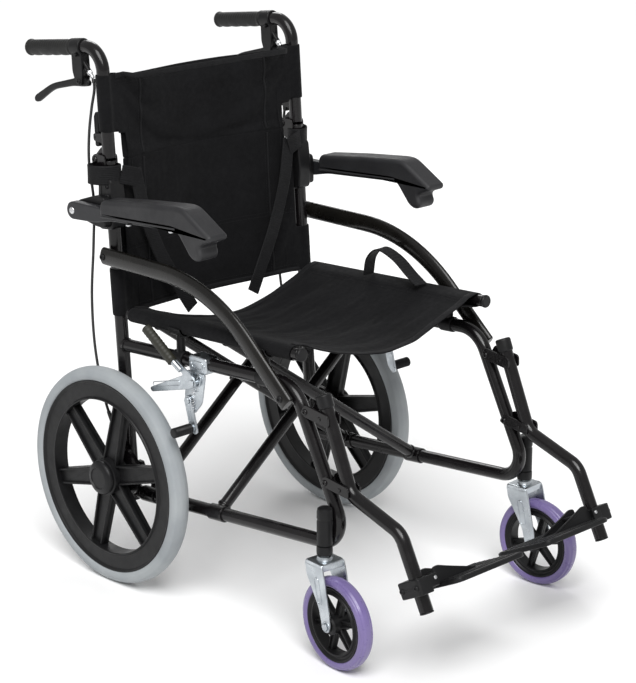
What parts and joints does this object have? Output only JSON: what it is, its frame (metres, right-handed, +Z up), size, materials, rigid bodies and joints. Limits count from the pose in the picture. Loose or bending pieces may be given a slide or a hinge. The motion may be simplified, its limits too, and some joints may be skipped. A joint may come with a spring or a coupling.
{
  "type": "transport wheelchair",
  "caption": "Folding attendant-pushed wheelchair with scissor frame, fold-down back, flip-up arms and footplates, hand brakes and front casters.",
  "frame": {"origin": "on the floor, at the middle of the footprint of the open chair", "axes": "+Z up, -Y is the way the sitter faces, +X is the chair's left side"},
  "size_m": [0.578, 0.9594, 0.9063],
  "materials": {
    "black_paint": "gloss black powder coat",
    "black_plastic": "satin black moulded plastic",
    "pad_grey": "dark grey self-skinned foam",
    "grey_tyre": "light grey solid tyre",
    "violet_tyre": "violet solid caster tyre",
    "zinc": "bright zinc plate",
    "fabric": "black woven nylon",
    "cable": "black cable housing"
  },
  "bodies": {
    "right_side": {"right_frame": "black_paint", "right_side_arch": "black_paint", "right_leg_tube": "black_paint", "right_caster_housing": "black_plastic", "right_arm_bracket": "black_plastic", "right_fold_hinge": "black_paint", "right_brake_cable": "cable", "right_footplate_clamp": "black_plastic", "right_parking_clamp": "zinc", "right_drum_brake": "black_paint", "right_belt_strap": "fabric", "back_lower": "fabric"},
    "right_rear_wheel": {"right_rear_tyre": "grey_tyre", "right_rear_rim": "black_plastic", "right_hub_cap": "black_plastic"},
    "right_caster": {"right_caster_fork": "zinc"},
    "right_caster_wheel": {"right_caster_tyre": "violet_tyre", "right_caster_rim": "black_plastic"},
    "right_arm": {"right_arm_bar": "pad_grey", "right_arm_pad": "pad_grey"},
    "right_back": {"right_back_cane": "black_paint", "right_handgrip": "black_plastic", "right_lever_bracket": "black_plastic", "back_upper": "fabric"},
    "right_latch": {"right_fold_latch": "black_plastic"},
    "right_lever": {"right_brake_lever": "black_plastic"},
    "right_foot": {"right_footplate": "black_plastic"},
    "right_park_handle": {"right_parking_handle": "zinc"},
    "right_park_shoe": {"right_parking_shoe": "zinc"},
    "left_side": {"left_frame": "black_paint", "left_side_arch": "black_paint", "left_leg_tube": "black_paint", "left_caster_housing": "black_plastic", "left_arm_bracket": "black_plastic", "left_fold_hinge": "black_paint", "left_brake_cable": "cable", "left_footplate_clamp": "black_plastic", "left_parking_clamp": "zinc", "left_drum_brake": "black_paint", "left_belt_strap": "fabric", "belt_loop": "fabric"},
    "left_rear_wheel": {"left_rear_tyre": "grey_tyre", "left_rear_rim": "black_plastic", "left_hub_cap": "black_plastic"},
    "left_caster": {"left_caster_fork": "zinc"},
    "left_caster_wheel": {"left_caster_tyre": "violet_tyre", "left_caster_rim": "black_plastic"},
    "left_arm": {"left_arm_bar": "pad_grey", "left_arm_pad": "pad_grey"},
    "left_back": {"left_back_cane": "black_paint", "left_handgrip": "black_plastic", "left_lever_bracket": "black_plastic"},
    "left_latch": {"left_fold_latch": "black_plastic"},
    "left_lever": {"left_brake_lever": "black_plastic"},
    "left_foot": {"left_footplate": "black_plastic"},
    "left_park_handle": {"left_parking_handle": "zinc"},
    "left_park_shoe": {"left_parking_shoe": "zinc"},
    "brace_a": {"brace_a": "black_paint", "seat_sling": "fabric"},
    "brace_b": {"brace_b": "black_paint"}
  },
  "joints": [
    {"name": "frame_fold", "type": "hinge", "parent": "right_side", "child": "brace_a", "pos_m": [-0.212, 0.2405, 0.147], "axis": [0, -0.9964, 0.0847], "range_deg": [0, 36.6], "deforming": ["seat_sling", "back_upper", "back_lower", "left_belt_strap", "right_belt_strap", "belt_loop"]},
    {"name": "brace_cross", "type": "hinge", "parent": "brace_a", "child": "brace_b", "pos_m": [0, 0.25342, 0.29897], "axis": [0, -0.9964, 0.0847], "range_deg": [-73.2, 0]},
    {"name": "left_side_fold", "type": "hinge", "parent": "brace_b", "child": "left_side", "pos_m": [0.212, 0.2405, 0.147], "axis": [0, -0.9964, 0.0847], "range_deg": [0, 36.6]},
    {"name": "right_wheel_spin", "type": "hinge", "parent": "right_side", "child": "right_rear_wheel", "pos_m": [-0.261, 0.2355, 0.1871], "axis": [1, 0, 0], "continuous": true},
    {"name": "right_caster_swivel", "type": "hinge", "parent": "right_side", "child": "right_caster", "pos_m": [-0.2358, -0.2502, 0.07464], "axis": [0, 0, 1], "continuous": true},
    {"name": "right_caster_spin", "type": "hinge", "parent": "right_caster", "child": "right_caster_wheel", "pos_m": [-0.2385, -0.28108, 0.07464], "axis": [0.9962, -0.0872, 0], "continuous": true},
    {"name": "right_arm_flip", "type": "hinge", "parent": "right_side", "child": "right_arm", "pos_m": [-0.248, 0.3225, 0.627], "axis": [-1, 0, 0], "range_deg": [0, 100]},
    {"name": "right_back_fold", "type": "hinge", "parent": "right_side", "child": "right_back", "pos_m": [-0.212, 0.2965, 0.712], "axis": [-1, 0, 0], "range_deg": [0, 90], "deforming": ["right_brake_cable", "back_upper", "back_lower", "right_belt_strap", "left_belt_strap"]},
    {"name": "right_latch_press", "type": "hinge", "parent": "right_back", "child": "right_latch", "pos_m": [-0.212, 0.299, 0.748], "axis": [-1, 0, 0], "range_deg": [0, 10], "stiffness_Nm_per_rad": 0.5, "springref_deg": -17.19},
    {"name": "right_lever_squeeze", "type": "hinge", "parent": "right_back", "child": "right_lever", "pos_m": [-0.212, 0.3385, 0.835], "axis": [1, 0, 0], "range_deg": [0, 18], "stiffness_Nm_per_rad": 1, "springref_deg": -17.19},
    {"name": "right_foot_flip", "type": "hinge", "parent": "right_side", "child": "right_foot", "pos_m": [-0.19, -0.41802, 0.17387], "axis": [0, -0.8944, 0.4472], "range_deg": [0, 90]},
    {"name": "right_park_handle_turn", "type": "hinge", "parent": "right_side", "child": "right_park_handle", "pos_m": [-0.235, 0.0505, 0.386], "axis": [1, 0, 0], "range_deg": [0, 50]},
    {"name": "right_park_shoe_turn", "type": "hinge", "parent": "right_side", "child": "right_park_shoe", "pos_m": [-0.231, 0.0675, 0.352], "axis": [1, 0, 0], "range_deg": [0, 31]},
    {"name": "left_wheel_spin", "type": "hinge", "parent": "left_side", "child": "left_rear_wheel", "pos_m": [0.261, 0.2355, 0.1871], "axis": [1, 0, 0], "continuous": true},
    {"name": "left_caster_swivel", "type": "hinge", "parent": "left_side", "child": "left_caster", "pos_m": [0.2358, -0.2502, 0.07464], "axis": [0, 0, 1], "continuous": true},
    {"name": "left_caster_spin", "type": "hinge", "parent": "left_caster", "child": "left_caster_wheel", "pos_m": [0.2385, -0.28108, 0.07464], "axis": [0.9962, 0.0872, 0], "continuous": true},
    {"name": "left_arm_flip", "type": "hinge", "parent": "left_side", "child": "left_arm", "pos_m": [0.248, 0.3225, 0.627], "axis": [-1, 0, 0], "range_deg": [0, 100]},
    {"name": "left_back_fold", "type": "hinge", "parent": "left_side", "child": "left_back", "pos_m": [0.212, 0.2965, 0.712], "axis": [-1, 0, 0], "range_deg": [0, 90], "deforming": ["left_brake_cable"]},
    {"name": "left_latch_press", "type": "hinge", "parent": "left_back", "child": "left_latch", "pos_m": [0.212, 0.299, 0.748], "axis": [-1, 0, 0], "range_deg": [0, 10], "stiffness_Nm_per_rad": 0.5, "springref_deg": -17.19},
    {"name": "left_lever_squeeze", "type": "hinge", "parent": "left_back", "child": "left_lever", "pos_m": [0.212, 0.3385, 0.835], "axis": [1, 0, 0], "range_deg": [0, 18], "stiffness_Nm_per_rad": 1, "springref_deg": -17.19},
    {"name": "left_foot_flip", "type": "hinge", "parent": "left_side", "child": "left_foot", "pos_m": [0.19, -0.41802, 0.17387], "axis": [0, 0.8944, -0.4472], "range_deg": [0, 90]},
    {"name": "left_park_handle_turn", "type": "hinge", "parent": "left_side", "child": "left_park_handle", "pos_m": [0.235, 0.0505, 0.386], "axis": [1, 0, 0], "range_deg": [0, 50]},
    {"name": "left_park_shoe_turn", "type": "hinge", "parent": "left_side", "child": "left_park_shoe", "pos_m": [0.231, 0.0675, 0.352], "axis": [1, 0, 0], "range_deg": [0, 31]}
  ],
  "couplings": [
    {"joint": "brace_cross", "follows": "frame_fold", "ratio": -2},
    {"joint": "left_side_fold", "follows": "frame_fold", "ratio": 1},
    {"joint": "right_park_shoe_turn", "follows": "right_park_handle_turn", "ratio": 0.62},
    {"joint": "right_foot_flip", "follows": "frame_fold", "ratio": 2.45},
    {"joint": "left_park_shoe_turn", "follows": "left_park_handle_turn", "ratio": 0.62},
    {"joint": "left_foot_flip", "follows": "frame_fold", "ratio": 2.45},
    {"joint": "left_back_fold", "follows": "right_back_fold", "ratio": 1}
  ]
}
